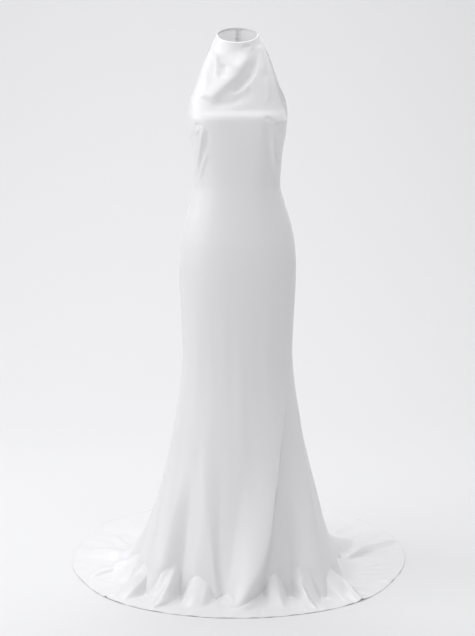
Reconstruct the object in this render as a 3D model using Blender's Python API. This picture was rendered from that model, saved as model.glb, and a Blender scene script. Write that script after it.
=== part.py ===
"""A satin wedding dress with a high draped neck, cutaway armholes and a skirt that pools into a short train.

The dress keeps the hollow shape it has when it is worn. Its front is one piece from the rolled neck edge
to the hem. Its back is two halves that meet along the centre back and close at the nape with three
buttons and loops. Lengths are metres, angles are degrees round the body: 0 is the centre front (-Y),
90 is the side at +X and 180 is the centre back. Heights are above the floor while the dress is modelled,
and the origin is then moved up to the middle of the neck, where the wearer holds the dress.
"""

import math
from collections import namedtuple

import bmesh
import bpy
import numpy as np
from mathutils import Matrix, Vector

# Driving dimensions.
NECK_HEIGHT = 1.507  # middle of the neck edge above the floor
NECK_LIFT = 0.020  # how much lower the front of the neck edge is, and how much higher the back
NECK_SEAM = 0.025  # short seam at each side of the neck that joins front and back
UNDERARM_HEIGHT = 1.283
KNEE_HEIGHT = 0.620  # narrowest place of the skirt, where the folds start
CLOTH = 0.0012
SEAM_GAP = 0.0003

# Neck edge and closure.
ROLL_RADIUS = 0.0038  # soft roll of the front neck edge at the centre front
ROLL_RADIUS_SIDE = 0.0018
FACING_DEPTH = 0.018  # the edge goes on down inside the neck as its own facing
NECK_SLIT = 0.0024  # the back halves stand this far apart at the closure
SLIT_HEIGHT = 1.440
SLIT_END = 1.395
LIFT_END = 1.380  # below this the rows are level
BUTTON_COUNT = 3
BUTTON_FIRST = 0.007
BUTTON_STEP = 0.0105
BUTTON_RADIUS = 0.0040
BUTTON_FOOT_RADIUS = 0.0020
BUTTON_FOOT_HEIGHT = 0.0018
BUTTON_RISE = 0.0026
BUTTON_SHIFT = 0.0068  # from the centre back to the middle of a button
LOOP_THICKNESS = 0.0012
LOOP_CLEARANCE = 0.0003
LOOP_REACH = 0.0030  # length of a loop's ends on the other half

# Skirt: how it turns from hanging to lying.
TURN_OUT = 0.010  # a fold's tip breaks onto the floor within this length
TURN_SLOPE = 1.55  # and a tent falls to the floor over this many times its height
TURN_FALL = 1.6  # steeply at first
TURN_REACH = 0.110
TENT_REACH = 0.090  # and leans to one side over this length
TURN_EASE = 1.25
SHOULDER = 0.74  # the tents' tops are broad and round
HEM_MARGIN = 0.012
WALL_SHARE = 0.60
WALL_EASE = 1.35  # rows lie closer together towards the floor
TURN_SHARE = 0.86
SEAM_SWING = 0.30  # the side seams swing forward on their way down, and the cloth with them

# Mesh: columns round each panel, above and below the knee, and rows down it.
FRONT_COLUMNS = 28
BACK_COLUMNS = 10
LOWER_FACTOR = 2
WALL_ROWS = 15
TURN_ROWS = 6
FLOOR_ROWS = 4
ROW_HEIGHTS = (
    (1.507, 1.482, 2),
    (1.482, 1.283, 11),
    (1.283, 1.180, 5),
    (1.180, 0.900, 6),
    (0.900, 0.620, 4),
)

# Outline of the dress without its folds: half its width, its depth in front of and behind the axis, and
# how square the front and back are (2 is an ellipse).
Section = namedtuple("Section", "height half_width front_depth back_depth front_square back_square")
SECTIONS = (
    Section(1.507, 0.0560, 0.0565, 0.0560, 2.0, 2.0),
    Section(1.482, 0.0690, 0.0610, 0.0610, 2.0, 2.0),
    Section(1.440, 0.0900, 0.0720, 0.0720, 2.1, 2.1),
    Section(1.380, 0.1100, 0.0905, 0.0920, 2.2, 2.2),
    Section(1.330, 0.1280, 0.1070, 0.1020, 2.4, 2.3),
    Section(1.314, 0.1325, 0.1125, 0.1030, 2.6, 2.3),
    Section(1.297, 0.1353, 0.1240, 0.1035, 2.9, 2.3),
    Section(1.288, 0.1355, 0.1262, 0.1032, 3.0, 2.3),
    Section(1.268, 0.1338, 0.1235, 0.1020, 3.1, 2.3),
    Section(1.245, 0.1309, 0.1190, 0.1000, 3.0, 2.3),
    Section(1.200, 0.1233, 0.1085, 0.0940, 2.8, 2.2),
    Section(1.150, 0.1187, 0.1015, 0.0870, 2.6, 2.2),
    Section(1.108, 0.1168, 0.0985, 0.0830, 2.4, 2.2),
    Section(1.060, 0.1275, 0.1015, 0.0870, 2.3, 2.2),
    Section(1.000, 0.1462, 0.1085, 0.1000, 2.2, 2.2),
    Section(0.940, 0.1580, 0.1150, 0.1150, 2.2, 2.2),
    Section(0.880, 0.1620, 0.1170, 0.1240, 2.2, 2.2),
    Section(0.820, 0.1607, 0.1160, 0.1225, 2.2, 2.2),
    Section(0.720, 0.1560, 0.1130, 0.1160, 2.2, 2.2),
    Section(0.640, 0.1536, 0.1120, 0.1150, 2.2, 2.2),
    Section(0.550, 0.1600, 0.1180, 0.1280, 2.1, 2.1),
    Section(0.450, 0.1740, 0.1330, 0.1550, 2.1, 2.1),
    Section(0.350, 0.1910, 0.1530, 0.1850, 2.0, 2.0),
    Section(0.250, 0.2110, 0.1760, 0.2180, 2.0, 2.0),
    Section(0.150, 0.2330, 0.2010, 0.2560, 2.0, 2.0),
    Section(0.070, 0.2540, 0.2210, 0.2920, 2.0, 2.0),
    Section(0.000, 0.2780, 0.2370, 0.3300, 2.0, 2.0),
)

# Edges of the armholes, seen from the front. The dress hangs a little askew: on the left the front's edge
# reaches further out than the back's, and on the right the back's does.
ArmholeEdge = namedtuple("ArmholeEdge", "height outer_x inner_x front_y back_y")
ARMHOLE = (
    ArmholeEdge(1.482, 0.0690, 0.0690, 0.000, 0.000),
    ArmholeEdge(1.457, 0.0825, 0.0815, -0.016, 0.014),
    ArmholeEdge(1.414, 0.0985, 0.0962, -0.037, 0.036),
    ArmholeEdge(1.372, 0.1144, 0.1090, -0.046, 0.045),
    ArmholeEdge(1.329, 0.1323, 0.1215, -0.039, 0.037),
    ArmholeEdge(1.303, 0.1358, 0.1295, -0.021, 0.019),
    ArmholeEdge(1.283, 0.1355, 0.1355, 0.000, 0.000),
)

# Lines that run down the skirt, left to right as it is seen from the front, crests and hollows in turn.
# Each has its turn at five heights and where it ends on the floor, the height where it starts, and the
# place where the hanging cloth breaks onto the floor: low at a fold's rounded tip, raised like a small
# tent between two folds.
Line = namedtuple("Line", "name at_620 at_400 at_250 at_120 at_floor at_end start foot_radius foot_height")
LINES = (
    Line("back_hollow", -178, -178, -178, -178, -178, -178, 0.50, 0.325, 0.080),
    Line("back_left", -164, -162, -160, -157, -155, -153, 0.60, 0.385, 0.004),
    Line("back_left_tent", -152, -149, -146, -142, -140, -140, 0.50, 0.310, 0.070),
    Line("left_back", -142, -136, -132, -128, -126, -127, 0.60, 0.355, 0.004),
    Line("left_back_tent", -132, -125, -119, -116, -114, -116, 0.50, 0.300, 0.050),
    Line("left_behind", -122, -114, -107, -104, -102, -106, 0.47, 0.322, 0.006),
    Line("left_behind_tent", -112, -103, -95, -90, -87, -87, 0.45, 0.275, 0.045),
    Line("left_side", -102, -92, -84, -76, -69, -60, 0.46, 0.318, 0.010),
    Line("left_side_tent", -92, -82, -74, -65, -58, -54, 0.45, 0.298, 0.070),
    Line("left_front", -82, -73, -65, -56, -48.5, -45, 0.62, 0.333, 0.006),
    Line("left_front_tent", -70, -61, -54, -48, -41.5, -36, 0.42, 0.285, 0.082),
    Line("left_small", -60, -50, -43, -39, -35, -31, 0.25, 0.272, 0.004),
    Line("left_small_tent", -53, -44, -36, -30, -26, -23, 0.35, 0.252, 0.060),
    Line("centre_left", -46, -38, -27, -18, -12, -13, 0.50, 0.268, 0.004),
    Line("centre", -12, -12, -14, -13, -9, -10, 0.30, 0.256, 0.012),
    Line("centre_tent", 20, 8, 0, -5, -6, -8, 0.30, 0.262, 0.020),
    Line("sweeping", 76, 46, 29, 16, 0, -3, 0.62, 0.314, 0.004),
    Line("sweeping_underside", 78, 48, 33, 25, 15, 9, 0.50, 0.252, 0.020),
    Line("sweeping_tent", 80, 51, 38, 32, 26, 21, 0.50, 0.236, 0.062),
    Line("right_small", 84, 56, 43, 37, 33, 28, 0.28, 0.268, 0.005),
    Line("right_small_tent", 90, 63, 51, 44, 39.5, 32, 0.40, 0.292, 0.080),
    Line("right_front", 98, 74, 61, 51, 44.5, 42, 0.60, 0.343, 0.004),
    Line("right_front_tent", 106, 85, 71, 61, 55, 53, 0.45, 0.304, 0.062),
    Line("right_side", 114, 96, 83, 73, 66, 66, 0.50, 0.318, 0.008),
    Line("right_side_tent", 123, 106, 96, 88, 84, 84, 0.40, 0.285, 0.035),
    Line("right_back", 132, 118, 110, 105, 102, 111, 0.50, 0.306, 0.006),
    Line("right_back_tent", 141, 131, 124, 120, 117, 121, 0.45, 0.300, 0.060),
    Line("back_right", 150, 143, 137, 133, 130, 131, 0.60, 0.360, 0.004),
    Line("back_right_tent", 161, 157, 153, 150, 147, 148, 0.50, 0.315, 0.075),
    Line("back_middle", 172, 170, 168, 165, 163, 163, 0.60, 0.385, 0.004),
)
LINE_HEIGHTS = (0.0, 0.12, 0.25, 0.40, 0.62)

# Low ridges of the cloth that lies on the floor, from the skirt out to the hem.
Ridge = namedtuple("Ridge", "inner_turn hem_turn height width")
RIDGES = (
    Ridge(-43, -34, 0.012, 4.0),
    Ridge(-58, -53, 0.014, 4.0),
    Ridge(-92, -79, 0.013, 4.5),
    Ridge(-104, -107, 0.020, 4.5),
    Ridge(-140, -137, 0.016, 6.0),
    Ridge(-170, -168, 0.018, 6.0),
    Ridge(147, 148, 0.018, 6.0),
    Ridge(118, 127, 0.014, 4.5),
    Ridge(102, 112, 0.021, 4.0),
    Ridge(59, 55, 0.014, 4.0),
    Ridge(5, -4, 0.012, 4.0),
    Ridge(31, 30, 0.010, 2.6),
)

# The hem as it lies: how far from the axis, to the left and to the right of the centre front.
Hem = namedtuple("Hem", "turn left right")
HEM = (
    Hem(0, 0.386, 0.386),
    Hem(20, 0.393, 0.393),
    Hem(40, 0.411, 0.411),
    Hem(57, 0.430, 0.430),
    Hem(75, 0.446, 0.446),
    Hem(92, 0.475, 0.478),
    Hem(108, 0.500, 0.515),
    Hem(124, 0.538, 0.553),
    Hem(140, 0.588, 0.584),
    Hem(155, 0.596, 0.594),
    Hem(168, 0.603, 0.602),
    Hem(180, 0.608, 0.608),
)

# Drape of the high neck, seen from the front: the line of each crest (or hollow, where the rise is below
# zero), and how far it reaches to the left and right of the line as it runs. Points are (sideways, height).
Drape = namedtuple("Drape", "path rise reach_left reach_right")
DRAPES = (
    Drape(
        ((-0.052, 1.486), (-0.041, 1.460), (-0.022, 1.440), (-0.002, 1.431), (0.016, 1.445), (0.032, 1.472)),
        0.011, 0.020, 0.008,
    ),
    Drape(
        ((-0.070, 1.330), (-0.062, 1.348), (-0.041, 1.371), (-0.019, 1.392), (0.004, 1.417), (0.032, 1.474)),
        0.013, 0.024, 0.013,
    ),
    Drape(
        ((-0.014, 1.356), (0.003, 1.368), (0.031, 1.392), (0.047, 1.418), (0.054, 1.462)),
        -0.010, 0.014, 0.004,
    ),
    Drape(((-0.051, 1.392), (-0.052, 1.440), (-0.053, 1.484)), 0.007, 0.007, 0.008),
    Drape(((-0.066, 1.395), (-0.066, 1.435), (-0.064, 1.470)), -0.003, 0.006, 0.006),
    Drape(((-0.086, 1.335), (-0.088, 1.380), (-0.078, 1.435)), 0.004, 0.013, 0.016),
    Drape(((0.072, 1.395), (0.063, 1.457), (0.057, 1.485)), 0.004, 0.010, 0.008),
    Drape(((-0.075, 1.330), (-0.033, 1.331), (0.007, 1.342), (0.045, 1.366)), -0.004, 0.013, 0.011),
)
PATH_STEPS = 4

# Pulled lines below the bust, from the dart down to the waist, as (sideways, height).
TENSION_PATH = ((0.094, 1.262), (0.112, 1.125))
TENSION_RISE = 0.0035
TENSION_WIDTH = 0.010


def smooth(value):
    """0 below 0, 1 above 1, with level ends."""
    t = np.clip(value, 0, 1)
    return t * t * (3 - 2 * t)


def through(positions, values, at):
    """A smooth curve through values given at rising positions, which never overshoots them.

    Positions and values run along the first axis, and may differ from point to point.
    """
    at = np.asarray(at, float)
    x = np.reshape(np.asarray(positions, float), (len(positions), -1))
    y = np.reshape(np.asarray(values, float), (len(values), -1))
    span = np.diff(x, axis=0)
    slopes = np.diff(y, axis=0) / span
    before, after = slopes[:-1], slopes[1:]
    level = before * after <= 0
    middle = np.where(level, 0.0, 2 * before * after / np.where(level, 1.0, before + after))
    tangents = np.concatenate((slopes[:1], middle, slopes[-1:]))
    place_of = np.clip((x <= at.ravel()).sum(axis=0) - 1, 0, len(span) - 1)
    point = np.arange(at.size)

    def pick(column, index):
        return column[index, 0 if column.shape[1] == 1 else point]

    start, width = pick(x, place_of), pick(span, place_of)
    low, high = pick(y, place_of), pick(y, place_of + 1)
    t = np.clip((at.ravel() - start) / width, 0, 1)
    leaving = t * (1 - t) ** 2 * width * pick(tangents, place_of)
    arriving = t * t * (t - 1) * width * pick(tangents, place_of + 1)
    return (low + (high - low) * t * t * (3 - 2 * t) + leaving + arriving).reshape(at.shape)


def from_table(table, name, height):
    """One named column of a table whose rows are at heights."""
    rows = sorted(table, key=lambda row: row.height)
    return through([row.height for row in rows], [getattr(row, name) for row in rows], height)


def section(name, height):
    return from_table(SECTIONS, name, height)


def side_and_face(turn):
    """How far a direction leans sideways, and how far it leans to the front."""
    return np.sin(np.radians(turn)), np.cos(np.radians(turn))


def turn_between(a, b):
    """Angle from b to a, between -180 and 180."""
    return (a - b + 180) % 360 - 180


def outline_radius(turn, half_width, depth, square):
    """Distance from the axis to a rounded oblong, in the direction of turn."""
    side, face = side_and_face(turn)
    return ((abs(side) / half_width) ** square + (abs(face) / depth) ** square) ** (-1 / square)


def front_or_back(turn, name, height):
    """Depth or squareness of the half of the outline that this turn lies in."""
    front = abs(turn_between(turn, 0)) <= 90
    return np.where(front, section("front_" + name, height), section("back_" + name, height))


def place(turn, radius, z):
    side, face = side_and_face(turn)
    return np.stack((radius * side, -radius * face, z), axis=-1)


def armhole_edge(front, right, height):
    """Turn and radius of a panel's edge at one side: the side seam, or the edge of the armhole above it."""
    outer, inner = from_table(ARMHOLE, "outer_x", height), from_table(ARMHOLE, "inner_x", height)
    x = np.where(np.not_equal(front, right), outer, inner)
    y = np.where(front, from_table(ARMHOLE, "front_y", height), from_table(ARMHOLE, "back_y", height))
    closed = (height <= UNDERARM_HEIGHT) | (height >= NECK_HEIGHT - NECK_SEAM)
    edge_turn = np.where(closed, 90.0, np.degrees(np.arctan2(x, -y)))
    return edge_turn, np.where(closed, section("half_width", height), np.hypot(x, y))


def neck_lift(height):
    return NECK_LIFT * smooth((height - LIFT_END) / (NECK_HEIGHT - LIFT_END))


def line_distance(path, x, z):
    """Signed distance from a curve through points, positive to its left, and the share along it."""
    nearest = np.full(np.shape(x), 1e9)
    share = np.zeros(np.shape(x))
    knots = np.arange(len(path))
    steps = np.linspace(0, len(path) - 1, (len(path) - 1) * PATH_STEPS + 1)
    line_x = through(knots, [point[0] for point in path], steps)
    line_z = through(knots, [point[1] for point in path], steps)
    last = len(steps) - 1
    for i in range(last):
        dx, dz = line_x[i + 1] - line_x[i], line_z[i + 1] - line_z[i]
        off_x, off_z = x - line_x[i], z - line_z[i]
        t = np.clip((off_x * dx + off_z * dz) / (dx * dx + dz * dz), 0, 1)
        distance = np.hypot(off_x - t * dx, off_z - t * dz)
        closer = distance < abs(nearest)
        nearest = np.where(closer, np.copysign(distance, off_z * dx - off_x * dz), nearest)
        share = np.where(closer, (i + t) / last, share)
    return nearest, share


def ridge_along(path, x, z, reach_left, reach_right):
    """A rounded ridge along a line, which fades out at both of the line's ends."""
    distance, share = line_distance(path, x, z)
    reach = np.where(distance > 0, reach_left, reach_right)
    fade = smooth(share / 0.25) * smooth((1 - share) / 0.25)
    return fade * np.exp(-((distance / reach) ** 2))


def drape_rise(x, z):
    """How far the draped neck and the pulled cloth below the bust stand forward at this place."""
    rise = TENSION_RISE * ridge_along(TENSION_PATH, abs(x), z, TENSION_WIDTH, TENSION_WIDTH)
    for drape in DRAPES:
        rise = rise + drape.rise * ridge_along(drape.path, x, z, drape.reach_left, drape.reach_right)
    return rise


def body_points(turn, height):
    """Points of the cloth from the neck down to the knee."""
    front = abs(turn_between(turn, 0)) <= 90
    depth = front_or_back(turn, "depth", height)
    square = front_or_back(turn, "square", height)
    edge_turn, edge_radius = armhole_edge(front, turn > 0, height)
    edge_side, edge_face = side_and_face(edge_turn)
    face_part = (abs(edge_face) / depth) ** square
    half_width = abs(edge_side) / ((1 / edge_radius) ** square - face_part) ** (1 / square)
    radius = outline_radius(turn, half_width, depth, square)
    side, face = side_and_face(turn)
    z = height - neck_lift(height) * face
    radius = radius + drape_rise(radius * side, z) * smooth(3 * face)
    return place(turn, radius, z)


def round_body(turns, values, turn):
    """Values of the skirt's lines, carried smoothly round the body from line to line."""
    turns = np.reshape(turns, (len(turns), -1))
    values = np.reshape(values, (len(values), -1))
    turns = np.concatenate((turns[-2:] - 360, turns, turns[:2] + 360))
    values = np.concatenate((values[-2:], values, values[:2]))
    return through(turns, values, turn_between(turn, 0))


def line_turns(height):
    """Turn of each line at these heights."""
    rows = []
    for line in LINES:
        turns = (line.at_floor, line.at_120, line.at_250, line.at_400, line.at_620)
        rows.append(through(LINE_HEIGHTS, turns, height))
    return np.array(rows)


def plain_radius(turn, height):
    """Distance of the skirt from the axis without its folds."""
    depth = front_or_back(turn, "depth", height)
    square = front_or_back(turn, "square", height)
    return outline_radius(turn, section("half_width", height), depth, square)


def line_reaches(height):
    """How far each line stands out from the plain skirt at these heights."""
    rows = []
    for line in LINES:
        reach = line.foot_radius - plain_radius(np.array(line.at_floor), np.array(line.foot_height))
        rows.append(reach * np.clip((line.start - height) / (line.start - line.foot_height), 0, 1) ** 2)
    return np.array(rows)


def skirt_radius(turn, height):
    """Distance of the hanging skirt from the axis."""
    turn, height = np.broadcast_arrays(turn, height)
    return plain_radius(turn, height) + round_body(line_turns(height), line_reaches(height), turn)


def with_shoulders(turns, heights):
    """The lines with one more halfway between each two, where the cloth already nears the tent's height."""
    heights = np.reshape(heights, (len(heights), 1))
    after_turns = np.concatenate((turns[1:], turns[:1] + 360))
    after_heights = np.concatenate((heights[1:], heights[:1]))
    low, high = np.minimum(heights, after_heights), np.maximum(heights, after_heights)
    all_turns = np.stack((turns, (turns + after_turns) / 2), axis=1)
    all_turns = all_turns.reshape(2 * len(turns), turns.shape[1])
    shoulders = low + SHOULDER * (high - low)
    return all_turns, np.stack((heights, shoulders), axis=1).reshape(len(all_turns), 1)


def break_height(turn, outward):
    """Height where the hanging cloth breaks onto the floor, carried outward as the tents lean."""
    share = np.clip(np.ravel(outward) / TENT_REACH, 0, 1)
    turns = np.array([line.at_floor + (line.at_end - line.at_floor) * share for line in LINES])
    turns, heights = with_shoulders(turns, [line.foot_height for line in LINES])
    return round_body(turns, heights, turn)


def hem_radius(turn):
    """Distance from the axis to the hem, which lies furthest out at the back."""
    turn = turn_between(turn, 0)
    turns = [hem.turn for hem in HEM]
    left = through(turns, [hem.left for hem in HEM], abs(turn))
    right = through(turns, [hem.right for hem in HEM], abs(turn))
    return np.where(turn < 0, left, right)


def ridge_height(turn, share):
    """Height of the lying cloth's ridges, share being 0 at the skirt and 1 at the hem."""
    height = np.zeros_like(turn)
    for ridge in RIDGES:
        turn_here = ridge.inner_turn + (ridge.hem_turn - ridge.inner_turn) * share
        shape = np.exp(-((turn_between(turn, turn_here) / ridge.width) ** 2))
        height = height + ridge.height * shape * (1 - 0.9 * smooth(share))
    return height


def skirt_points(turn, share):
    """Points of the skirt, share being 0 at the knee and 1 at the hem."""
    up = break_height(turn, np.zeros_like(turn))
    start = skirt_radius(turn, up)
    hem = hem_radius(turn)
    down_wall = np.clip(share / WALL_SHARE, 0, 1)
    wall_z = KNEE_HEIGHT + (up - KNEE_HEIGHT) * (1 - (1 - down_wall) ** WALL_EASE)
    t = np.clip((share - WALL_SHARE) / (TURN_SHARE - WALL_SHARE), 0, 1)
    across = np.clip((share - TURN_SHARE) / (1 - TURN_SHARE), 0, 1)
    reach = np.minimum(TURN_REACH, hem - HEM_MARGIN - start)
    run = reach * t**TURN_EASE + (hem - start - reach) * across
    outward = run / (hem - start)
    settled = break_height(turn, run)
    fall = np.clip(1 - run / (TURN_OUT + TURN_SLOPE * settled), 0, 1) ** TURN_FALL
    lying_z = CLOTH + (settled - CLOTH) * fall
    lying_z = lying_z + ridge_height(turn, outward) * smooth(outward / 0.35)
    hanging = share <= WALL_SHARE
    radius = np.where(hanging, skirt_radius(turn, wall_z), start + run)
    return place(turn, radius, np.where(hanging, wall_z, lying_z))


def cloth_points(turn, down):
    """Points of the cloth's outer side: down is a height above the knee, or minus the skirt's share."""
    turn, down = np.broadcast_arrays(np.asarray(turn, float), np.asarray(down, float))
    points = np.empty(turn.shape + (3,))
    body = down > 0
    points[body] = body_points(turn[body], down[body])
    points[~body] = skirt_points(turn[~body], -down[~body])
    return points


def cloth_normals(turn, down):
    """Directions away from the cloth's outer side."""
    turn, down = np.broadcast_arrays(np.asarray(turn, float), np.asarray(down, float))
    side = 0.05
    step = 0.0005
    high = np.where(down > 0, np.minimum(down + step, NECK_HEIGHT), np.minimum(down + step, 0))
    low = np.where(down > 0, down - step, np.maximum(down - step, -1))
    sideways = cloth_points(turn + side, down) - cloth_points(turn - side, down)
    upwards = cloth_points(turn, high) - cloth_points(turn, low)
    across = np.cross(sideways, upwards)
    return across / np.linalg.norm(across, axis=-1, keepdims=True)


def swing(turn, down):
    """Where a column that starts at this turn above the knee has swung to, at this row."""
    share = SEAM_SWING * np.clip(-down / TURN_SHARE, 0, 1) ** 0.9
    behind = np.copysign(180 - (180 - abs(turn)) * (1 + share), turn)
    return np.where(abs(turn) <= 90, turn * (1 - share), behind)


def row_positions():
    """Where the rows lie, neck to hem: heights down to the knee, then minus the skirt's share."""
    rows = [ROW_HEIGHTS[0][0]]
    for top, bottom, count in ROW_HEIGHTS:
        rows += [top + (bottom - top) * (i + 1) / count for i in range(count)]
    rows[-1] = 0.0
    rows += [-WALL_SHARE * (i + 1) / WALL_ROWS for i in range(WALL_ROWS)]
    rows += [-WALL_SHARE - (TURN_SHARE - WALL_SHARE) * (i + 1) / TURN_ROWS for i in range(TURN_ROWS)]
    rows += [-TURN_SHARE - (1 - TURN_SHARE) * (i + 1) / FLOOR_ROWS for i in range(FLOOR_ROWS)]
    return np.array(rows)


def gap_turn(gap, turn, down):
    """The angle that a gap takes up at this place."""
    points = cloth_points(turn, down)
    return np.degrees(gap / np.hypot(points[..., 0], points[..., 1]))


def panel_turns(name, down, columns):
    """The turns of a panel's points in each row, where columns has the number of columns in each row."""
    height = np.where(down > 0, down, KNEE_HEIGHT)
    front = name == "front"
    left = -swing(armhole_edge(front, False, height)[0], down)
    right = swing(armhole_edge(front, True, height)[0], down)
    left_seam, right_seam = gap_turn(SEAM_GAP / 2, left, down), gap_turn(SEAM_GAP / 2, right, down)
    slit = SEAM_GAP + (NECK_SLIT - SEAM_GAP) * smooth((down - SLIT_END) / (SLIT_HEIGHT - SLIT_END))
    middle = 180 - gap_turn(slit / 2, 180, down)
    if front:
        first, last = left + left_seam, right - right_seam
    elif name == "left":
        first, last = -middle, left - left_seam
    else:
        first, last = right + right_seam, middle
    return [np.linspace(a, b, count + 1) for a, b, count in zip(first, last, columns)]


def neck_roll(turns):
    """Rows of outer points and normals of the rolled front neck edge, from the facing's end to the top."""
    edge = cloth_points(turns, NECK_HEIGHT)
    side, face = side_and_face(turns)
    level = np.zeros_like(turns)
    outward = np.stack((side, -face, level), axis=-1)
    up = np.stack((level, level, level + 1), axis=-1)
    radius = (ROLL_RADIUS_SIDE + (ROLL_RADIUS - ROLL_RADIUS_SIDE) * face**2)[:, None]
    centre = edge - outward * radius
    rows = [(centre - outward * radius - up * FACING_DEPTH, -outward)]
    for angle in (180, 120, 60):
        way = outward * math.cos(math.radians(angle)) + up * math.sin(math.radians(angle))
        rows.append((centre + way * radius, way))
    return rows


def panel_rows(name):
    """Rows of outer points and normals of one panel, from its top to the hem."""
    down = row_positions()
    upper = FRONT_COLUMNS if name == "front" else BACK_COLUMNS
    turns = panel_turns(name, down, np.where(down > 0, upper, upper * LOWER_FACTOR))
    ends = np.cumsum([len(row) for row in turns])[:-1]
    every_turn = np.concatenate(turns)
    every_down = np.concatenate([np.full(len(row), at) for row, at in zip(turns, down)])
    points = np.split(cloth_points(every_turn, every_down), ends)
    normals = np.split(cloth_normals(every_turn, every_down), ends)
    rolled = neck_roll(turns[0]) if name == "front" else []
    return rolled + list(zip(points, normals))


def strip_triangles(above, below):
    """Triangles between two rows of points, as (row, column) pairs; the lower row may have twice as many.

    A four-sided cell is cut along its shorter diagonal, which both sides of the wall then share.
    """
    triangles = []
    if len(above) != len(below):
        for i in range(len(above) - 1):
            triangles.append(((0, i), (1, 2 * i), (1, 2 * i + 1)))
            triangles.append(((0, i), (1, 2 * i + 1), (0, i + 1)))
            triangles.append(((0, i + 1), (1, 2 * i + 1), (1, 2 * i + 2)))
        return triangles
    falling = np.linalg.norm(above[:-1] - below[1:], axis=1)
    rising = np.linalg.norm(above[1:] - below[:-1], axis=1)
    for i in range(len(above) - 1):
        if falling[i] < rising[i]:
            triangles.append(((0, i), (1, i), (1, i + 1)))
            triangles.append(((0, i), (1, i + 1), (0, i + 1)))
        else:
            triangles.append(((0, i), (1, i), (0, i + 1)))
            triangles.append(((0, i + 1), (1, i), (1, i + 1)))
    return triangles


def outline_of(rows):
    """The vertices along a sheet's border, in order round it."""
    top = rows[0]
    right = [row[-1] for row in rows[1:]]
    bottom = list(reversed(rows[-1][:-1]))
    left = [row[0] for row in reversed(rows[1:-1])]
    return top + right + bottom + left


def build_wall(name, rows):
    """A closed wall of cloth: its outer side, its inner side one thickness away, and its cut edges."""
    mesh = bmesh.new()
    outer = [[mesh.verts.new(point) for point in points] for points, _ in rows]
    inner = [[mesh.verts.new(point) for point in points - normals * CLOTH] for points, normals in rows]
    for i in range(len(rows) - 1):
        for triangle in strip_triangles(rows[i][0], rows[i + 1][0]):
            mesh.faces.new([outer[i + row][column] for row, column in triangle])
            mesh.faces.new([inner[i + row][column] for row, column in reversed(triangle)])
    outside = outline_of(outer)
    inside = outline_of(inner)
    for i in range(len(outside)):
        following = (i + 1) % len(outside)
        mesh.faces.new((outside[i], outside[following], inside[following], inside[i]))
    return finish_mesh(name, mesh)


def finish_mesh(name, mesh):
    """Turns a bmesh into a named object, smooth but for its cut edges."""
    data = bpy.data.meshes.new(name)
    mesh.to_mesh(data)
    mesh.free()
    data.shade_smooth()
    data.set_sharp_from_angle(angle=math.radians(50))
    piece = bpy.data.objects.new(name, data)
    bpy.context.scene.collection.objects.link(piece)
    return piece


def satin():
    material = bpy.data.materials.new("ivory satin")
    material.use_nodes = True
    shader = material.node_tree.nodes["Principled BSDF"]
    shader.inputs["Base Color"].default_value = (0.86, 0.86, 0.86, 1)
    shader.inputs["Roughness"].default_value = 0.38
    shader.inputs["Sheen Weight"].default_value = 0.2
    return material


def covered_button():
    material = bpy.data.materials.new("covered button")
    material.use_nodes = True
    shader = material.node_tree.nodes["Principled BSDF"]
    shader.inputs["Base Color"].default_value = (0.84, 0.84, 0.83, 1)
    shader.inputs["Roughness"].default_value = 0.32
    return material


def rouleau():
    material = bpy.data.materials.new("rouleau loop")
    material.use_nodes = True
    shader = material.node_tree.nodes["Principled BSDF"]
    shader.inputs["Base Color"].default_value = (0.80, 0.80, 0.79, 1)
    shader.inputs["Roughness"].default_value = 0.45
    return material


def nape_place(index):
    """Where a button sits: a matrix with X across the back, Y out of the cloth and Z up the back."""
    height = NECK_HEIGHT - BUTTON_FIRST - index * BUTTON_STEP
    turn = 180 - gap_turn(BUTTON_SHIFT, 180, height)
    outward = Vector(cloth_normals(turn, height))
    across = Vector((1, 0, 0))
    across = (across - outward * across.dot(outward)).normalized()
    turned = Matrix((across, outward, across.cross(outward))).transposed()
    return Matrix.Translation(cloth_points(turn, height)) @ turned.to_4x4()


def build_button(name, seat):
    """A small covered dome on a narrower foot, turned round the axis that stands out of the cloth."""
    sides = 12
    base = SEAM_GAP
    brim = base + BUTTON_FOOT_HEIGHT
    profile = [(BUTTON_FOOT_RADIUS, base), (BUTTON_FOOT_RADIUS, brim), (BUTTON_RADIUS, brim)]
    for angle in (30, 60):
        run = BUTTON_RADIUS * math.cos(math.radians(angle))
        profile.append((run, brim + BUTTON_RISE * math.sin(math.radians(angle))))
    mesh = bmesh.new()
    rings = []
    for radius, out in profile:
        ring = []
        for i in range(sides):
            angle = 2 * math.pi * i / sides
            ring.append(mesh.verts.new((radius * math.cos(angle), out, radius * math.sin(angle))))
        rings.append(ring)
    for lower, upper in zip(rings, rings[1:]):
        for i in range(sides):
            j = (i + 1) % sides
            mesh.faces.new((lower[i], lower[j], upper[j], upper[i]))
    mesh.faces.new(rings[0])
    top = mesh.verts.new((0, brim + BUTTON_RISE, 0))
    for i in range(sides):
        mesh.faces.new((rings[-1][i], rings[-1][(i + 1) % sides], top))
    bmesh.ops.recalc_face_normals(mesh, faces=mesh.faces)
    button = finish_mesh(name, mesh)
    button.matrix_world = seat
    return button


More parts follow.
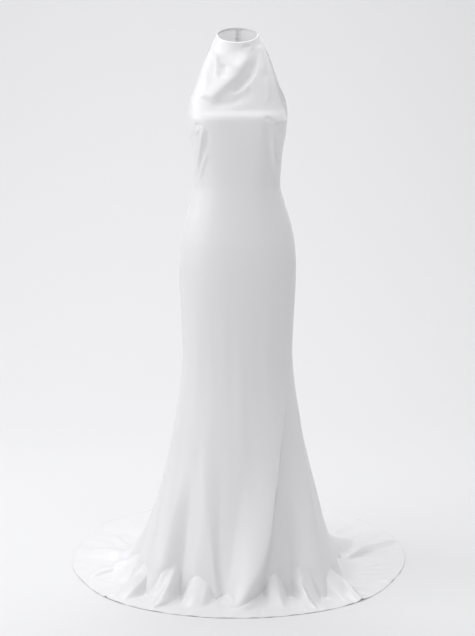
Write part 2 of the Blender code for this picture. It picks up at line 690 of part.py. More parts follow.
def build_loop(name, seat):
    """A rouleau loop: from the left half's edge, round the button's foot, and back."""
    round_foot = BUTTON_FOOT_RADIUS + LOOP_CLEARANCE + LOOP_THICKNESS / 2
    start = -2 * BUTTON_SHIFT + NECK_SLIT / 2 + LOOP_REACH
    height_out = SEAM_GAP + LOOP_THICKNESS / 2
    path = [(start, round_foot), (start * 0.66, round_foot), (start * 0.33, round_foot)]
    path += [
        (round_foot * math.sin(math.radians(angle)), round_foot * math.cos(math.radians(angle)))
        for angle in range(0, 181, 30)
    ]
    path += [(start * 0.33, -round_foot), (start * 0.66, -round_foot), (start, -round_foot)]
    curve = bpy.data.curves.new(name, "CURVE")
    curve.dimensions = "3D"
    curve.bevel_depth = LOOP_THICKNESS / 2
    curve.bevel_resolution = 1
    curve.use_fill_caps = True
    spline = curve.splines.new("POLY")
    spline.points.add(len(path) - 1)
    for point, (x, z) in zip(spline.points, path):
        point.co = (x, height_out, z, 1)
    loop = bpy.data.objects.new(name, curve)
    bpy.context.scene.collection.objects.link(loop)
    loop.matrix_world = seat
    return loop


def build_dress():
    root = bpy.data.objects.new("wedding_dress", None)
    bpy.context.scene.collection.objects.link(root)
    cloth = satin()
    button_cloth = covered_button()
    loop_cloth = rouleau()
    pieces = []
    panels = (("front_panel", "front"), ("back_panel_right", "right"), ("back_panel_left", "left"))
    for name, panel in panels:
        piece = build_wall(name, panel_rows(panel))
        piece.data.materials.append(cloth)
        pieces.append(piece)
    for index in range(BUTTON_COUNT):
        seat = nape_place(index)
        button = build_button(f"button_{index + 1}", seat)
        button.data.materials.append(button_cloth)
        loop = build_loop(f"button_loop_{index + 1}", seat)
        loop.data.materials.append(loop_cloth)
        pieces += [button, loop]
    for piece in pieces:
        piece.parent = root
    root.location.z = -NECK_HEIGHT


def main():
    for thing in list(bpy.data.objects):
        bpy.data.objects.remove(thing)
    build_dress()


main()
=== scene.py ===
"""The looks of the satin wedding dress: cloth, edges, stitches, loops and buttons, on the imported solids.

Lengths are metres and angles are degrees round the body: 0 is the centre front (-Y), 90 is the side at +X
and 180 is the centre back. Heights are above the floor while the cloth is worked out, and everything is
then moved down so that the origin is the middle of the neck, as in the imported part.
"""

import math

import bpy
import numpy as np
from collections import namedtuple
from mathutils import Matrix, Vector


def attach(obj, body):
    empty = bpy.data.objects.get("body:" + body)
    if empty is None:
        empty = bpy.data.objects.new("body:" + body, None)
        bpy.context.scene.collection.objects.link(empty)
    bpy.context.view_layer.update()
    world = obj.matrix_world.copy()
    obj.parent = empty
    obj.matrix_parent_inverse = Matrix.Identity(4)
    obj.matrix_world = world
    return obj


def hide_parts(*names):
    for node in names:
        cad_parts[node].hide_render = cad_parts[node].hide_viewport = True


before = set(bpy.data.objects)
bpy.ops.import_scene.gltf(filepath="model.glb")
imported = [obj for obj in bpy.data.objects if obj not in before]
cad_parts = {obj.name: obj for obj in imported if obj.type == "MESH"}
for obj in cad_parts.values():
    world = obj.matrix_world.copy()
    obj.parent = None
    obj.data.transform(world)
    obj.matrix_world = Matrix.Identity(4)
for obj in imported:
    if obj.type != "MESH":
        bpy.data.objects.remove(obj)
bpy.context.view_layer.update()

# Driving dimensions.
NECK_HEIGHT = 1.507  # middle of the neck edge above the floor
NECK_LIFT = 0.020  # how much lower the front of the neck edge is, and how much higher the back
NECK_SEAM = 0.025  # short seam at each side of the neck that joins front and back
UNDERARM_HEIGHT = 1.283
KNEE_HEIGHT = 0.620  # narrowest place of the skirt, where the folds start
CLOTH = 0.0012
SEAM_GAP = 0.0003  # between the solids
SHOWN_GAP = 0.00004  # between the sewn panels as they are shown

# Neck edge and closure.
ROLL_RADIUS = 0.0038  # soft roll of the front neck edge at the centre front
ROLL_RADIUS_SIDE = 0.0018
FACING_DEPTH = 0.018  # the edge goes on down inside the neck as its own facing
NECK_SLIT = 0.0024  # the solids of the back halves stand this far apart at the closure
LOOP_END_LENGTH = 0.0030  # the cords' ends inside the left half
LOOP_END_WIDTH = 0.0050
LOOP_END_DEPTH = 0.0013
LAP = 0.0024  # the shown halves lap over each other by this much
LAP_RISE = 0.0007  # the left half lies this far outside, and the right half this far inside
SLIT_HEIGHT = 1.440
SLIT_END = 1.395
LIFT_END = 1.380  # below this the rows are level
BUTTON_COUNT = 3
BUTTON_FIRST = 0.007
BUTTON_STEP = 0.0105
BUTTON_RADIUS = 0.0040
BUTTON_FOOT_RADIUS = 0.0020
BUTTON_FOOT_HEIGHT = 0.0018
BUTTON_RISE = 0.0026
BUTTON_SHIFT = 0.0068  # from the centre back to the middle of a button
LOOP_THICKNESS = 0.0012
LOOP_CLEARANCE = 0.0003
LOOP_REACH = 0.0030  # length of a loop's ends on the other half

# Skirt: how it turns from hanging to lying.
TURN_OUT = 0.010  # a fold's tip breaks onto the floor within this length
TURN_SLOPE = 1.55  # and a tent falls to the floor over this many times its height
TURN_FALL = 1.6  # steeply at first
TURN_REACH = 0.110
TENT_REACH = 0.090  # and leans to one side over this length
TURN_EASE = 1.25
SHOULDER = 0.74  # the tents' tops are broad and round
HEM_MARGIN = 0.012
WALL_SHARE = 0.60
WALL_EASE = 1.35  # rows lie closer together towards the floor
TURN_SHARE = 0.86
SEAM_SWING = 0.30  # the side seams swing forward on their way down, and the cloth with them

# Outline of the dress without its folds: half its width, its depth in front of and behind the axis, and
# how square the front and back are (2 is an ellipse).
Section = namedtuple("Section", "height half_width front_depth back_depth front_square back_square")
SECTIONS = (
    Section(1.507, 0.0560, 0.0565, 0.0560, 2.0, 2.0),
    Section(1.482, 0.0690, 0.0610, 0.0610, 2.0, 2.0),
    Section(1.440, 0.0900, 0.0720, 0.0720, 2.1, 2.1),
    Section(1.380, 0.1100, 0.0905, 0.0920, 2.2, 2.2),
    Section(1.330, 0.1280, 0.1070, 0.1020, 2.4, 2.3),
    Section(1.314, 0.1325, 0.1125, 0.1030, 2.6, 2.3),
    Section(1.297, 0.1353, 0.1240, 0.1035, 2.9, 2.3),
    Section(1.288, 0.1355, 0.1262, 0.1032, 3.0, 2.3),
    Section(1.268, 0.1338, 0.1235, 0.1020, 3.1, 2.3),
    Section(1.245, 0.1309, 0.1190, 0.1000, 3.0, 2.3),
    Section(1.200, 0.1233, 0.1085, 0.0940, 2.8, 2.2),
    Section(1.150, 0.1187, 0.1015, 0.0870, 2.6, 2.2),
    Section(1.108, 0.1168, 0.0985, 0.0830, 2.4, 2.2),
    Section(1.060, 0.1275, 0.1015, 0.0870, 2.3, 2.2),
    Section(1.000, 0.1462, 0.1085, 0.1000, 2.2, 2.2),
    Section(0.940, 0.1580, 0.1150, 0.1150, 2.2, 2.2),
    Section(0.880, 0.1620, 0.1170, 0.1240, 2.2, 2.2),
    Section(0.820, 0.1607, 0.1160, 0.1225, 2.2, 2.2),
    Section(0.720, 0.1560, 0.1130, 0.1160, 2.2, 2.2),
    Section(0.640, 0.1536, 0.1120, 0.1150, 2.2, 2.2),
    Section(0.550, 0.1600, 0.1180, 0.1280, 2.1, 2.1),
    Section(0.450, 0.1740, 0.1330, 0.1550, 2.1, 2.1),
    Section(0.350, 0.1910, 0.1530, 0.1850, 2.0, 2.0),
    Section(0.250, 0.2110, 0.1760, 0.2180, 2.0, 2.0),
    Section(0.150, 0.2330, 0.2010, 0.2560, 2.0, 2.0),
    Section(0.070, 0.2540, 0.2210, 0.2920, 2.0, 2.0),
    Section(0.000, 0.2780, 0.2370, 0.3300, 2.0, 2.0),
)

# Edges of the armholes, seen from the front. The dress hangs a little askew: on the left the front's edge
# reaches further out than the back's, and on the right the back's does.
ArmholeEdge = namedtuple("ArmholeEdge", "height outer_x inner_x front_y back_y")
ARMHOLE = (
    ArmholeEdge(1.482, 0.0690, 0.0690, 0.000, 0.000),
    ArmholeEdge(1.457, 0.0825, 0.0815, -0.016, 0.014),
    ArmholeEdge(1.414, 0.0985, 0.0962, -0.037, 0.036),
    ArmholeEdge(1.372, 0.1144, 0.1090, -0.046, 0.045),
    ArmholeEdge(1.329, 0.1323, 0.1215, -0.039, 0.037),
    ArmholeEdge(1.303, 0.1358, 0.1295, -0.021, 0.019),
    ArmholeEdge(1.283, 0.1355, 0.1355, 0.000, 0.000),
)

# Lines that run down the skirt, left to right as it is seen from the front, crests and hollows in turn.
# Each has its turn at five heights and where it ends on the floor, the height where it starts, and the
# place where the hanging cloth breaks onto the floor: low at a fold's rounded tip, raised like a small
# tent between two folds.
Line = namedtuple("Line", "name at_620 at_400 at_250 at_120 at_floor at_end start foot_radius foot_height")
LINES = (
    Line("back_hollow", -178, -178, -178, -178, -178, -178, 0.50, 0.325, 0.080),
    Line("back_left", -164, -162, -160, -157, -155, -153, 0.60, 0.385, 0.004),
    Line("back_left_tent", -152, -149, -146, -142, -140, -140, 0.50, 0.310, 0.070),
    Line("left_back", -142, -136, -132, -128, -126, -127, 0.60, 0.355, 0.004),
    Line("left_back_tent", -132, -125, -119, -116, -114, -116, 0.50, 0.300, 0.050),
    Line("left_behind", -122, -114, -107, -104, -102, -106, 0.47, 0.322, 0.006),
    Line("left_behind_tent", -112, -103, -95, -90, -87, -87, 0.45, 0.275, 0.045),
    Line("left_side", -102, -92, -84, -76, -69, -60, 0.46, 0.318, 0.010),
    Line("left_side_tent", -92, -82, -74, -65, -58, -54, 0.45, 0.298, 0.070),
    Line("left_front", -82, -73, -65, -56, -48.5, -45, 0.62, 0.333, 0.006),
    Line("left_front_tent", -70, -61, -54, -48, -41.5, -36, 0.42, 0.285, 0.082),
    Line("left_small", -60, -50, -43, -39, -35, -31, 0.25, 0.272, 0.004),
    Line("left_small_tent", -53, -44, -36, -30, -26, -23, 0.35, 0.252, 0.060),
    Line("centre_left", -46, -38, -27, -18, -12, -13, 0.50, 0.268, 0.004),
    Line("centre", -12, -12, -14, -13, -9, -10, 0.30, 0.256, 0.012),
    Line("centre_tent", 20, 8, 0, -5, -6, -8, 0.30, 0.262, 0.020),
    Line("sweeping", 76, 46, 29, 16, 0, -3, 0.62, 0.314, 0.004),
    Line("sweeping_underside", 78, 48, 33, 25, 15, 9, 0.50, 0.252, 0.020),
    Line("sweeping_tent", 80, 51, 38, 32, 26, 21, 0.50, 0.236, 0.062),
    Line("right_small", 84, 56, 43, 37, 33, 28, 0.28, 0.268, 0.005),
    Line("right_small_tent", 90, 63, 51, 44, 39.5, 32, 0.40, 0.292, 0.080),
    Line("right_front", 98, 74, 61, 51, 44.5, 42, 0.60, 0.343, 0.004),
    Line("right_front_tent", 106, 85, 71, 61, 55, 53, 0.45, 0.304, 0.062),
    Line("right_side", 114, 96, 83, 73, 66, 66, 0.50, 0.318, 0.008),
    Line("right_side_tent", 123, 106, 96, 88, 84, 84, 0.40, 0.285, 0.035),
    Line("right_back", 132, 118, 110, 105, 102, 111, 0.50, 0.306, 0.006),
    Line("right_back_tent", 141, 131, 124, 120, 117, 121, 0.45, 0.300, 0.060),
    Line("back_right", 150, 143, 137, 133, 130, 131, 0.60, 0.360, 0.004),
    Line("back_right_tent", 161, 157, 153, 150, 147, 148, 0.50, 0.315, 0.075),
    Line("back_middle", 172, 170, 168, 165, 163, 163, 0.60, 0.385, 0.004),
)
LINE_HEIGHTS = (0.0, 0.12, 0.25, 0.40, 0.62)

# Low ridges of the cloth that lies on the floor, from the skirt out to the hem.
Ridge = namedtuple("Ridge", "inner_turn hem_turn height width")
RIDGES = (
    Ridge(-43, -34, 0.012, 4.0),
    Ridge(-58, -53, 0.014, 4.0),
    Ridge(-92, -79, 0.013, 4.5),
    Ridge(-104, -107, 0.020, 4.5),
    Ridge(-140, -137, 0.016, 6.0),
    Ridge(-170, -168, 0.018, 6.0),
    Ridge(147, 148, 0.018, 6.0),
    Ridge(118, 127, 0.014, 4.5),
    Ridge(102, 112, 0.021, 4.0),
    Ridge(59, 55, 0.014, 4.0),
    Ridge(5, -4, 0.012, 4.0),
    Ridge(31, 30, 0.010, 2.6),
)

# The hem as it lies: how far from the axis, to the left and to the right of the centre front.
Hem = namedtuple("Hem", "turn left right")
HEM = (
    Hem(0, 0.386, 0.386),
    Hem(20, 0.393, 0.393),
    Hem(40, 0.411, 0.411),
    Hem(57, 0.430, 0.430),
    Hem(75, 0.446, 0.446),
    Hem(92, 0.475, 0.478),
    Hem(108, 0.500, 0.515),
    Hem(124, 0.538, 0.553),
    Hem(140, 0.588, 0.584),
    Hem(155, 0.596, 0.594),
    Hem(168, 0.603, 0.602),
    Hem(180, 0.608, 0.608),
)

# Drape of the high neck, seen from the front: the line of each crest (or hollow, where the rise is below
# zero), and how far it reaches to the left and right of the line as it runs. Points are (sideways, height).
Drape = namedtuple("Drape", "path rise reach_left reach_right")
DRAPES = (
    Drape(
        (
            (-0.052, 1.486), (-0.041, 1.460), (-0.022, 1.440),
            (-0.002, 1.431), (0.016, 1.445), (0.032, 1.472),
        ),
        0.0075, 0.022, 0.016,
    ),
    Drape(
        (
            (-0.070, 1.330), (-0.062, 1.348), (-0.041, 1.371),
            (-0.019, 1.392), (0.004, 1.417), (0.032, 1.474),
        ),
        0.013, 0.024, 0.013,
    ),
    Drape(
        ((-0.014, 1.356), (0.003, 1.368), (0.031, 1.392), (0.047, 1.418), (0.054, 1.462)),
        -0.010, 0.014, 0.004,
    ),
    Drape(((-0.051, 1.392), (-0.052, 1.440), (-0.053, 1.484)), 0.007, 0.007, 0.008),
    Drape(((-0.066, 1.395), (-0.066, 1.435), (-0.064, 1.470)), -0.003, 0.006, 0.006),
    Drape(((-0.086, 1.335), (-0.088, 1.380), (-0.078, 1.435)), 0.004, 0.013, 0.016),
    Drape(((0.072, 1.395), (0.063, 1.457), (0.057, 1.485)), 0.004, 0.010, 0.008),
    Drape(((-0.075, 1.330), (-0.033, 1.331), (0.007, 1.342), (0.045, 1.366)), -0.004, 0.013, 0.011),
)
PATH_STEPS = 4

# Pulled lines below the bust, from the dart down to the waist, as (sideways, height).
TENSION_PATH = ((0.094, 1.262), (0.112, 1.125))
TENSION_RISE = 0.0035
TENSION_WIDTH = 0.010


def smooth(value):
    """0 below 0, 1 above 1, with level ends."""
    t = np.clip(value, 0, 1)
    return t * t * (3 - 2 * t)


def through(positions, values, at):
    """A smooth curve through values given at rising positions, which never overshoots them.

    Positions and values run along the first axis, and may differ from point to point.
    """
    at = np.asarray(at, float)
    x = np.reshape(np.asarray(positions, float), (len(positions), -1))
    y = np.reshape(np.asarray(values, float), (len(values), -1))
    span = np.diff(x, axis=0)
    slopes = np.diff(y, axis=0) / span
    before, after = slopes[:-1], slopes[1:]
    level = before * after <= 0
    middle = np.where(level, 0.0, 2 * before * after / np.where(level, 1.0, before + after))
    tangents = np.concatenate((slopes[:1], middle, slopes[-1:]))
    place_of = np.clip((x <= at.ravel()).sum(axis=0) - 1, 0, len(span) - 1)
    point = np.arange(at.size)

    def pick(column, index):
        return column[index, 0 if column.shape[1] == 1 else point]

    start, width = pick(x, place_of), pick(span, place_of)
    low, high = pick(y, place_of), pick(y, place_of + 1)
    t = np.clip((at.ravel() - start) / width, 0, 1)
    leaving = t * (1 - t) ** 2 * width * pick(tangents, place_of)
    arriving = t * t * (t - 1) * width * pick(tangents, place_of + 1)
    return (low + (high - low) * t * t * (3 - 2 * t) + leaving + arriving).reshape(at.shape)


def from_table(table, name, height):
    """One named column of a table whose rows are at heights."""
    rows = sorted(table, key=lambda row: row.height)
    return through([row.height for row in rows], [getattr(row, name) for row in rows], height)


def section(name, height):
    return from_table(SECTIONS, name, height)


def side_and_face(turn):
    """How far a direction leans sideways, and how far it leans to the front."""
    return np.sin(np.radians(turn)), np.cos(np.radians(turn))


def turn_between(a, b):
    """Angle from b to a, between -180 and 180."""
    return (a - b + 180) % 360 - 180


def outline_radius(turn, half_width, depth, square):
    """Distance from the axis to a rounded oblong, in the direction of turn."""
    side, face = side_and_face(turn)
    return ((abs(side) / half_width) ** square + (abs(face) / depth) ** square) ** (-1 / square)


def front_or_back(turn, name, height):
    """Depth or squareness of the half of the outline that this turn lies in."""
    front = abs(turn_between(turn, 0)) <= 90
    return np.where(front, section("front_" + name, height), section("back_" + name, height))


def place(turn, radius, z):
    side, face = side_and_face(turn)
    return np.stack((radius * side, -radius * face, z), axis=-1)


def armhole_edge(front, right, height):
    """Turn and radius of a panel's edge at one side: the side seam, or the edge of the armhole above it."""
    outer, inner = from_table(ARMHOLE, "outer_x", height), from_table(ARMHOLE, "inner_x", height)
    x = np.where(np.not_equal(front, right), outer, inner)
    y = np.where(front, from_table(ARMHOLE, "front_y", height), from_table(ARMHOLE, "back_y", height))
    closed = (height <= UNDERARM_HEIGHT) | (height >= NECK_HEIGHT - NECK_SEAM)
    edge_turn = np.where(closed, 90.0, np.degrees(np.arctan2(x, -y)))
    return edge_turn, np.where(closed, section("half_width", height), np.hypot(x, y))


def neck_lift(height):
    return NECK_LIFT * smooth((height - LIFT_END) / (NECK_HEIGHT - LIFT_END))


def line_distance(path, x, z):
    """Signed distance from a curve through points, positive to its left, and the share along it."""
    nearest = np.full(np.shape(x), 1e9)
    share = np.zeros(np.shape(x))
    knots = np.arange(len(path))
    steps = np.linspace(0, len(path) - 1, (len(path) - 1) * PATH_STEPS + 1)
    line_x = through(knots, [point[0] for point in path], steps)
    line_z = through(knots, [point[1] for point in path], steps)
    last = len(steps) - 1
    for i in range(last):
        dx, dz = line_x[i + 1] - line_x[i], line_z[i + 1] - line_z[i]
        off_x, off_z = x - line_x[i], z - line_z[i]
        t = np.clip((off_x * dx + off_z * dz) / (dx * dx + dz * dz), 0, 1)
        distance = np.hypot(off_x - t * dx, off_z - t * dz)
        closer = distance < abs(nearest)
        nearest = np.where(closer, np.copysign(distance, off_z * dx - off_x * dz), nearest)
        share = np.where(closer, (i + t) / last, share)
    return nearest, share


def ridge_along(path, x, z, reach_left, reach_right):
    """A rounded ridge along a line, which fades out at both of the line's ends."""
    distance, share = line_distance(path, x, z)
    reach = np.where(distance > 0, reach_left, reach_right)
    fade = smooth(share / 0.25) * smooth((1 - share) / 0.25)
    return fade * np.exp(-((distance / reach) ** 2))


def drapes_rise(drapes, x, z):
    """How far the ridges along a table's lines stand out together at this place."""
    rise = np.zeros_like(x)
    for drape in drapes:
        rise = rise + drape.rise * ridge_along(drape.path, x, z, drape.reach_left, drape.reach_right)
    return rise


def drape_rise(x, z):
    """How far the draped neck and the pulled cloth below the bust stand forward at this place."""
    tension = TENSION_RISE * ridge_along(TENSION_PATH, abs(x), z, TENSION_WIDTH, TENSION_WIDTH)
    return tension + drapes_rise(DRAPES, x, z)


def body_points(turn, height):
    """Points of the cloth from the neck down to the knee."""
    front = abs(turn_between(turn, 0)) <= 90
    depth = front_or_back(turn, "depth", height)
    square = front_or_back(turn, "square", height)
    edge_turn, edge_radius = armhole_edge(front, turn > 0, height)
    edge_side, edge_face = side_and_face(edge_turn)
    face_part = (abs(edge_face) / depth) ** square
    half_width = abs(edge_side) / ((1 / edge_radius) ** square - face_part) ** (1 / square)
    radius = outline_radius(turn, half_width, depth, square)
    side, face = side_and_face(turn)
    z = height - neck_lift(height) * face
    radius = radius + drape_rise(radius * side, z) * smooth(3 * face)
    return place(turn, radius, z)


def round_body(turns, values, turn):
    """Values of the skirt's lines, carried smoothly round the body from line to line."""
    turns = np.reshape(turns, (len(turns), -1))
    values = np.reshape(values, (len(values), -1))
    turns = np.concatenate((turns[-2:] - 360, turns, turns[:2] + 360))
    values = np.concatenate((values[-2:], values, values[:2]))
    return through(turns, values, turn_between(turn, 0))


def line_turns(height):
    """Turn of each line at these heights."""
    rows = []
    for line in LINES:
        turns = (line.at_floor, line.at_120, line.at_250, line.at_400, line.at_620)
        rows.append(through(LINE_HEIGHTS, turns, height))
    return np.array(rows)


def plain_radius(turn, height):
    """Distance of the skirt from the axis without its folds."""
    depth = front_or_back(turn, "depth", height)
    square = front_or_back(turn, "square", height)
    return outline_radius(turn, section("half_width", height), depth, square)


def line_reaches(height):
    """How far each line stands out from the plain skirt at these heights."""
    rows = []
    for line in LINES:
        reach = line.foot_radius - plain_radius(np.array(line.at_floor), np.array(line.foot_height))
        rows.append(reach * np.clip((line.start - height) / (line.start - line.foot_height), 0, 1) ** 2)
    return np.array(rows)


def skirt_radius(turn, height):
    """Distance of the hanging skirt from the axis."""
    turn, height = np.broadcast_arrays(turn, height)
    return plain_radius(turn, height) + round_body(line_turns(height), line_reaches(height), turn)


def with_shoulders(turns, heights):
    """The lines with one more halfway between each two, where the cloth already nears the tent's height."""
    heights = np.reshape(heights, (len(heights), 1))
    after_turns = np.concatenate((turns[1:], turns[:1] + 360))
    after_heights = np.concatenate((heights[1:], heights[:1]))
    low, high = np.minimum(heights, after_heights), np.maximum(heights, after_heights)
    all_turns = np.stack((turns, (turns + after_turns) / 2), axis=1)
    all_turns = all_turns.reshape(2 * len(turns), turns.shape[1])
    shoulders = low + SHOULDER * (high - low)
    return all_turns, np.stack((heights, shoulders), axis=1).reshape(len(all_turns), 1)


def break_height(turn, outward):
    """Height where the hanging cloth breaks onto the floor, carried outward as the tents lean."""
    share = np.clip(np.ravel(outward) / TENT_REACH, 0, 1)
    turns = np.array([line.at_floor + (line.at_end - line.at_floor) * share for line in LINES])
    turns, heights = with_shoulders(turns, [line.foot_height for line in LINES])
    return round_body(turns, heights, turn)


def hem_radius(turn):
    """Distance from the axis to the hem, which lies furthest out at the back."""
    turn = turn_between(turn, 0)
    turns = [hem.turn for hem in HEM]
    left = through(turns, [hem.left for hem in HEM], abs(turn))
    right = through(turns, [hem.right for hem in HEM], abs(turn))
    return np.where(turn < 0, left, right)


def ridge_height(turn, share):
    """Height of the lying cloth's ridges, share being 0 at the skirt and 1 at the hem."""
    height = np.zeros_like(turn)
    for ridge in RIDGES:
        turn_here = ridge.inner_turn + (ridge.hem_turn - ridge.inner_turn) * share
        shape = np.exp(-((turn_between(turn, turn_here) / ridge.width) ** 2))
        height = height + ridge.height * shape * (1 - 0.9 * smooth(share))
    return height


def skirt_points(turn, share):
    """Points of the skirt, share being 0 at the knee and 1 at the hem."""
    up = break_height(turn, np.zeros_like(turn))
    start = skirt_radius(turn, up)
    hem = hem_radius(turn)
    down_wall = np.clip(share / WALL_SHARE, 0, 1)
    wall_z = KNEE_HEIGHT + (up - KNEE_HEIGHT) * (1 - (1 - down_wall) ** WALL_EASE)
    t = np.clip((share - WALL_SHARE) / (TURN_SHARE - WALL_SHARE), 0, 1)
    across = np.clip((share - TURN_SHARE) / (1 - TURN_SHARE), 0, 1)
    reach = np.minimum(TURN_REACH, hem - HEM_MARGIN - start)
    run = reach * t**TURN_EASE + (hem - start - reach) * across
    outward = run / (hem - start)
    settled = break_height(turn, run)
    fall = np.clip(1 - run / (TURN_OUT + TURN_SLOPE * settled), 0, 1) ** TURN_FALL
    lying_z = CLOTH + (settled - CLOTH) * fall
    lying_z = lying_z + ridge_height(turn, outward) * smooth(outward / 0.35)
    hanging = share <= WALL_SHARE
    radius = np.where(hanging, skirt_radius(turn, wall_z), start + run)
    return place(turn, radius, np.where(hanging, wall_z, lying_z))


def cloth_points(turn, down):
    """Points of the cloth's outer side: down is a height above the knee, or minus the skirt's share."""
    turn, down = np.broadcast_arrays(np.asarray(turn, float), np.asarray(down, float))
    points = np.empty(turn.shape + (3,))
    body = down > 0
    points[body] = body_points(turn[body], down[body])
    points[~body] = skirt_points(turn[~body], -down[~body])
    return points


def cloth_normals(turn, down):
    """Directions away from the cloth's outer side."""
    turn, down = np.broadcast_arrays(np.asarray(turn, float), np.asarray(down, float))
    side = 0.05
    step = 0.0005
    high = np.where(down > 0, np.minimum(down + step, NECK_HEIGHT), np.minimum(down + step, 0))
    low = np.where(down > 0, down - step, np.maximum(down - step, -1))
    sideways = cloth_points(turn + side, down) - cloth_points(turn - side, down)
    upwards = cloth_points(turn, high) - cloth_points(turn, low)
    across = np.cross(sideways, upwards)
    return across / np.linalg.norm(across, axis=-1, keepdims=True)


def swing(turn, down):
    """Where a column that starts at this turn above the knee has swung to, at this row."""
    share = SEAM_SWING * np.clip(-down / TURN_SHARE, 0, 1) ** 0.9
    behind = np.copysign(180 - (180 - abs(turn)) * (1 + share), turn)
    return np.where(abs(turn) <= 90, turn * (1 - share), behind)


def slit_share(down):
    """0 below the closure, rising to 1 where it is open."""
    return smooth((down - SLIT_END) / (SLIT_HEIGHT - SLIT_END))


def gap_turn(gap, turn, down):
    """The angle that a gap takes up at this place."""
    points = cloth_points(turn, down)
    return np.degrees(gap / np.hypot(points[..., 0], points[..., 1]))


def panel_turns(name, down, columns):
    """The turns of a panel's points in each row, where columns has the number of columns in each row."""
    height = np.where(down > 0, down, KNEE_HEIGHT)
    front = name == "front"
    left = -swing(armhole_edge(front, False, height)[0], down)
    right = swing(armhole_edge(front, True, height)[0], down)
    left_seam, right_seam = gap_turn(SHOWN_GAP / 2, left, down), gap_turn(SHOWN_GAP / 2, right, down)
    slit = SHOWN_GAP - (LAP + SHOWN_GAP) * slit_share(down)
    middle = 180 - gap_turn(slit / 2, 180, down)
    if front:
        first, last = left + left_seam, right - right_seam
    elif name == "left":
        first, last = -middle, left - left_seam
    else:
        first, last = right + right_seam, middle
    return [np.linspace(a, b, count + 1) for a, b, count in zip(first, last, columns)]


# Fine shape of the cloth.
EDGE_WIDTH = 0.006  # narrow turned edge of the hem and the armholes
DART_SEAM = ((0.134, 1.226), (0.120, 1.250), (0.105, 1.277))
DART_DEPTH = 0.0016
HEM_LIFT = 0.0006  # the hem's edge rises off the floor by up to this much, here and there
HEM_DROP = 0.0009  # and lies flat between
SEAM_DEPTH = 0.0006
SEAM_REACH = 0.0018
SEAM_PUCKER = 0.00030
CREASE_LOW = 1.05  # the small creases of the front lie between these heights
CREASE_HIGH = 1.484
STITCH_PLACE = 0.84  # the hem's stitches run this share of the edge's width up from the hem
SLIT_EDGE_WIDTH = 0.004

# Soft uneven waves of the hanging and the lying cloth: amplitude, waves round the body, waves up and shift.
HANG_WAVES = ((0.0006, 7, 2.1, 0.4), (0.0004, 11, -3.3, 1.9), (0.00025, 19, 4.7, 4.1))
LIE_WAVES = ((0.0010, 17, 5.0, 0.9), (0.0008, 29, -9.0, 2.2), (0.0006, 43, 14.0, 5.1))

# Soft creases below the bust and at the sides, as lines of (sideways, height) on the front.
CREASES = (
    Drape(((-0.090, 1.276), (-0.099, 1.215), (-0.110, 1.140)), 0.0050, 0.006, 0.005),
    Drape(((-0.101, 1.262), (-0.106, 1.215), (-0.113, 1.160)), -0.0028, 0.004, 0.004),
    Drape(((-0.080, 1.205), (-0.092, 1.165), (-0.106, 1.110)), 0.0034, 0.005, 0.004),
    Drape(((-0.078, 1.268), (-0.080, 1.235), (-0.086, 1.200)), -0.0022, 0.005, 0.005),
    Drape(((0.092, 1.245), (0.097, 1.190), (0.108, 1.120)), 0.0048, 0.006, 0.005),
    Drape(((0.102, 1.255), (0.105, 1.200), (0.112, 1.145)), -0.0030, 0.004, 0.004),
    Drape(((0.113, 1.262), (0.110, 1.210), (0.114, 1.150)), 0.0030, 0.004, 0.004),
    Drape(((0.076, 1.292), (0.083, 1.240), (0.086, 1.160), (0.080, 1.080)), -0.0050, 0.012, 0.009),
    Drape(((0.070, 1.296), (0.088, 1.290), (0.101, 1.276)), -0.0040, 0.005, 0.008),
    Drape(((-0.112, 1.270), (-0.104, 1.276), (-0.096, 1.270)), -0.0026, 0.003, 0.003),
    Drape(((0.112, 1.268), (0.104, 1.278), (0.094, 1.270)), -0.0034, 0.004, 0.003),
    Drape(((0.100, 1.262), (0.108, 1.254), (0.114, 1.245)), 0.0026, 0.003, 0.003),
    Drape(((-0.100, 1.264), (-0.108, 1.256), (-0.114, 1.247)), 0.0022, 0.003, 0.003),
    Drape(((0.012, 1.4805), (0.024, 1.4785), (0.040, 1.4800)), -0.0020, 0.004, 0.007),
    Drape(((0.030, 1.470), (0.036, 1.476), (0.044, 1.479)), 0.0008, 0.004, 0.004),
    Drape(((-0.036, 1.436), (-0.035, 1.415), (-0.034, 1.396)), -0.0022, 0.007, 0.008),
    Drape(((0.016, 1.330), (0.022, 1.365), (0.034, 1.385)), 0.0018, 0.008, 0.008),
    Drape(((-0.098, 1.345), (-0.094, 1.375), (-0.086, 1.410)), -0.0016, 0.006, 0.006),
    Drape(((0.080, 1.330), (0.082, 1.365), (0.076, 1.405)), 0.0020, 0.007, 0.006),
)

